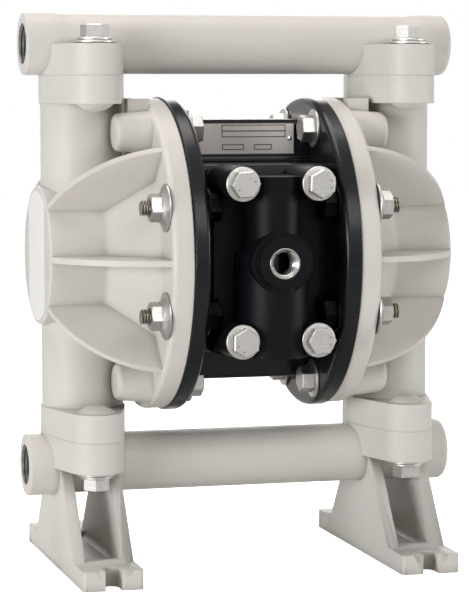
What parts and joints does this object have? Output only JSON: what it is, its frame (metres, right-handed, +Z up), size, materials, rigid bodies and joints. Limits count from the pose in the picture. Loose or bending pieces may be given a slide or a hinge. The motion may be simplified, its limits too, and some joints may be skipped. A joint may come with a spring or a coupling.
{
  "type": "air operated diaphragm pump",
  "caption": "Air operated diaphragm pump: moulded fluid caps and manifolds on slotted feet, dark centre section with front valve block and threaded air inlet.",
  "frame": {"origin": "centre of the footprint, on the floor under the feet", "axes": "+X along the rod axis towards the closed ends of the manifolds, -Y towards the air inlet (front), +Z up"},
  "size_m": [0.2286, 0.182, 0.2882],
  "materials": {
    "white_plastic": "satin moulded",
    "black_plastic": "semi-gloss moulded",
    "steel": "bright zinc",
    "rubber": "matt",
    "ball_rubber": "smooth",
    "bearing_plastic": "machined",
    "plate": "satin",
    "aluminium": "machined",
    "ceramic": "lapped",
    "muffler": "matt",
    "zinc": "plated",
    "brass": "machined"
  },
  "bodies": {
    "pump_body": {"inlet_manifold": "white_plastic", "foot_left": "white_plastic", "foot_right": "white_plastic", "foot_toes_left": "white_plastic", "foot_toes_right": "white_plastic", "outlet_manifold": "white_plastic", "fluid_cap_left": "white_plastic", "fluid_cap_right": "white_plastic", "air_cap_left": "black_plastic", "air_cap_right": "black_plastic", "cap_inserts_left": "brass", "cap_inserts_right": "brass", "cap_bolts_left": "steel", "cap_bolts_right": "steel", "cap_nuts_left": "steel", "cap_nuts_right": "steel", "air_cap_screws_left": "steel", "air_cap_screws_right": "steel", "diaphragm_left": "rubber", "diaphragm_right": "rubber", "center_body": "black_plastic", "name_plate": "plate", "name_plate_rivets": "steel", "valve_block": "black_plastic", "valve_gasket": "rubber", "valve_block_bolts": "steel", "air_inlet_insert": "steel", "valve_plate": "ceramic", "spool_end_plug": "bearing_plastic", "exhaust_muffler": "muffler", "rod_bushings": "bearing_plastic", "rod_seals": "rubber", "pilot_sleeve": "bearing_plastic", "inlet_seats": "bearing_plastic", "outlet_seats": "bearing_plastic", "inlet_seat_rings": "rubber", "outlet_seat_rings": "rubber", "outlet_manifold_bolts": "steel", "outlet_manifold_washers": "steel", "inlet_manifold_bolts": "steel", "inlet_manifold_washers": "steel"},
    "rod_assembly": {"connecting_rod": "steel", "air_side_washers": "zinc", "fluid_side_washers": "white_plastic", "diaphragm_screws": "steel"},
    "pilot_rod": {"pilot_rod": "steel"},
    "spool": {"valve_spool": "aluminium", "spool_seals": "rubber", "valve_insert": "bearing_plastic"},
    "inlet_ball_left": {"inlet_ball_left": "ball_rubber"},
    "inlet_ball_right": {"inlet_ball_right": "ball_rubber"},
    "outlet_ball_left": {"outlet_ball_left": "ball_rubber"},
    "outlet_ball_right": {"outlet_ball_right": "ball_rubber"}
  },
  "joints": [
    {"name": "rod_slide", "type": "slide", "parent": "pump_body", "child": "rod_assembly", "axis": [1, 0, 0], "range_m": [-0.0075, 0.0075], "deforming": ["diaphragm_left", "diaphragm_right"]},
    {"name": "pilot_slide", "type": "slide", "parent": "pump_body", "child": "pilot_rod", "axis": [1, 0, 0], "range_m": [-0.003, 0.003]},
    {"name": "spool_slide", "type": "slide", "parent": "pump_body", "child": "spool", "axis": [0, 0, 1], "range_m": [-0.003, 0.003]},
    {"name": "inlet_ball_left_lift", "type": "slide", "parent": "pump_body", "child": "inlet_ball_left", "axis": [0, 0, 1], "range_m": [0, 0.005]},
    {"name": "inlet_ball_right_lift", "type": "slide", "parent": "pump_body", "child": "inlet_ball_right", "axis": [0, 0, 1], "range_m": [0, 0.005]},
    {"name": "outlet_ball_left_lift", "type": "slide", "parent": "pump_body", "child": "outlet_ball_left", "axis": [0, 0, 1], "range_m": [0, 0.005]},
    {"name": "outlet_ball_right_lift", "type": "slide", "parent": "pump_body", "child": "outlet_ball_right", "axis": [0, 0, 1], "range_m": [0, 0.005]}
  ],
  "couplings": [
    {"joint": "pilot_slide", "follows": "rod_slide", "ratio": 0.4}
  ]
}
